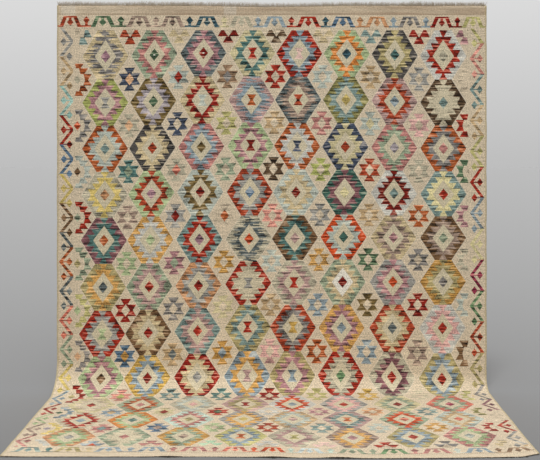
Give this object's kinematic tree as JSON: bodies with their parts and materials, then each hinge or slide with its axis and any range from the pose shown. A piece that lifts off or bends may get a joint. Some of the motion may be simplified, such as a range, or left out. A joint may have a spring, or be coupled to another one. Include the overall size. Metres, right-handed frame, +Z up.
{
  "type": "kilim rug hung with its tail on the floor",
  "caption": "Large flat-woven wool kilim rug with stepped medallions and a running border, hung by its top edge with its tail lying forward on the floor.",
  "frame": {"origin": "centre of the bounding box at floor level", "axes": "+X along the rug's width, +Y towards the wall that it hangs on, +Z up; the tail lies forward to -Y"},
  "size_m": [3.0002, 1.2924, 2.711],
  "materials": {
    "kilim_wool": "matt slit-woven wool, cream ground with many plant-dyed colours",
    "warp_fringe_top": "short frayed warp ends, grey-brown",
    "warp_fringe_bottom": "short frayed warp ends, dark"
  },
  "bodies": {
    "root": {"rug": "kilim_wool", "fringe_top": "warp_fringe_top", "fringe_bottom": "warp_fringe_bottom"}
  },
  "joints": []
}
